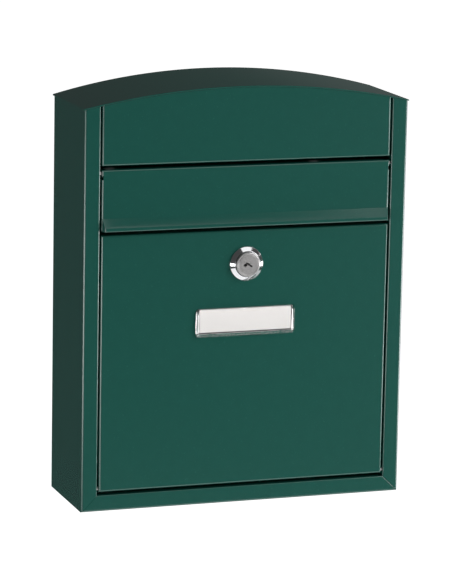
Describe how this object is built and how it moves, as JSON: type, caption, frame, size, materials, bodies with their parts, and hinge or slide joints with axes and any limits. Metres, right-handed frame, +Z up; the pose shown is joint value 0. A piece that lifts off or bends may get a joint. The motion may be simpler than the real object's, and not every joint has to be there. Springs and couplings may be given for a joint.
{
  "type": "wall mounted mailbox",
  "caption": "Green folded steel wall mailbox with an arched roof, a top-hinged letter flap, and a lockable drop-down door carrying a name label.",
  "frame": {"origin": "centre of the flat back face that lies against the wall, half way up the straight sides", "axes": "+X to the right as seen from the front, +Y into the wall, +Z up; the front faces -Y"},
  "size_m": [0.2164, 0.0742, 0.2718],
  "materials": {
    "green_paint": "fine textured powder coat, satin",
    "zinc_steel": "zinc plated",
    "lock_chrome": "polished nickel chrome",
    "clear_plastic": "clear",
    "card": "matt white"
  },
  "bodies": {
    "body": {"body_shell": "green_paint", "bottom_tray": "green_paint", "roof_cover": "green_paint", "fascia_panel": "green_paint", "cross_rail": "green_paint"},
    "flap": {"letter_flap": "green_paint", "flap_pin_left": "zinc_steel", "flap_pin_right": "zinc_steel"},
    "door": {"door_panel": "green_paint", "door_pin_left": "zinc_steel", "door_pin_right": "zinc_steel", "lock_housing": "lock_chrome", "lock_nut": "zinc_steel", "label_cover": "clear_plastic", "label_card": "card", "label_clip_left": "zinc_steel", "label_clip_right": "zinc_steel"},
    "lock": {"lock_plug": "lock_chrome", "lock_cam": "zinc_steel", "cam_washer": "zinc_steel", "cam_nut": "zinc_steel"}
  },
  "joints": [
    {"name": "flap_hinge", "type": "hinge", "parent": "body", "child": "flap", "pos_m": [0, -0.0675, 0.0885], "axis": [-1, 0, 0], "range_deg": [0, 78]},
    {"name": "door_hinge", "type": "hinge", "parent": "body", "child": "door", "pos_m": [0, -0.0675, -0.1138], "axis": [1, 0, 0], "range_deg": [0, 110]},
    {"name": "lock_turn", "type": "hinge", "parent": "door", "child": "lock", "pos_m": [0, -0.07, 0.0275], "axis": [0, 1, 0], "range_deg": [0, 90]}
  ]
}
